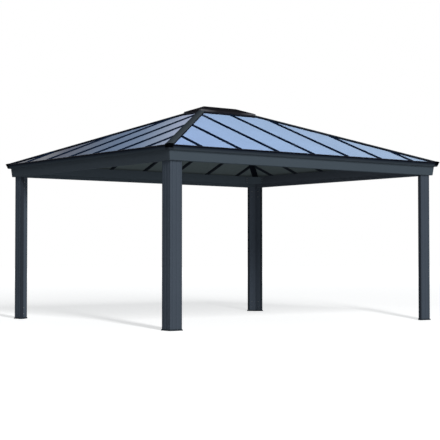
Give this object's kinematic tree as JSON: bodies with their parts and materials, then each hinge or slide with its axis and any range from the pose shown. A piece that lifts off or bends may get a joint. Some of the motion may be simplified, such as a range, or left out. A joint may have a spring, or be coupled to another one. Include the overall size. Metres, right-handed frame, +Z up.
{
  "type": "hardtop metal gazebo",
  "caption": "Open rectangular garden gazebo: angle-section metal posts, fascia beams and a hipped roof of blue-tinted panels under metal glazing bars and caps.",
  "frame": {"origin": "on the floor, at the centre of the plan between the posts", "axes": "+X along the long side, +Y along the short side, +Z up"},
  "size_m": [4.816, 4.226, 3.113],
  "materials": {
    "frame_metal": "satin anthracite powder coat",
    "roof_metal": "satin near-black powder coat",
    "cap_metal": "satin anthracite powder coat",
    "bar_metal": "satin blue-black powder coat",
    "ridge_metal": "satin black powder coat",
    "corner_plastic": "moulded black plastic",
    "roof_panel": "blue-tinted twin-wall polycarbonate with a smoke-grey underside"
  },
  "bodies": {
    "root": {"foot_front_left": "frame_metal", "foot_front_right": "frame_metal", "foot_back_left": "frame_metal", "foot_back_right": "frame_metal", "post_front_left": "frame_metal", "post_front_right": "frame_metal", "post_back_left": "frame_metal", "post_back_right": "frame_metal", "corner_bracket_front_left": "frame_metal", "corner_bracket_front_right": "frame_metal", "corner_bracket_back_left": "frame_metal", "corner_bracket_back_right": "frame_metal", "hip_rafter_front_left": "roof_metal", "hip_rafter_front_right": "roof_metal", "hip_rafter_back_left": "roof_metal", "hip_rafter_back_right": "roof_metal", "corner_cap_front_left": "corner_plastic", "corner_cap_front_right": "corner_plastic", "corner_cap_back_left": "corner_plastic", "corner_cap_back_right": "corner_plastic", "hip_cap_front_left": "cap_metal", "hip_cap_front_right": "cap_metal", "hip_cap_back_left": "cap_metal", "hip_cap_back_right": "cap_metal", "beam_front": "frame_metal", "beam_back": "frame_metal", "beam_left": "frame_metal", "beam_right": "frame_metal", "edge_trim_front": "frame_metal", "edge_trim_back": "frame_metal", "edge_trim_left": "frame_metal", "edge_trim_right": "frame_metal", "rafters_front": "roof_metal", "rafters_back": "roof_metal", "rafters_left": "roof_metal", "rafters_right": "roof_metal", "panels_front": "roof_panel", "panels_back": "roof_panel", "panels_left": "roof_panel", "panels_right": "roof_panel", "glazing_bars_front": "bar_metal", "glazing_bars_back": "bar_metal", "glazing_bars_left": "bar_metal", "glazing_bars_right": "bar_metal", "ridge_beam": "roof_metal", "ridge_cap": "ridge_metal"}
  },
  "joints": []
}
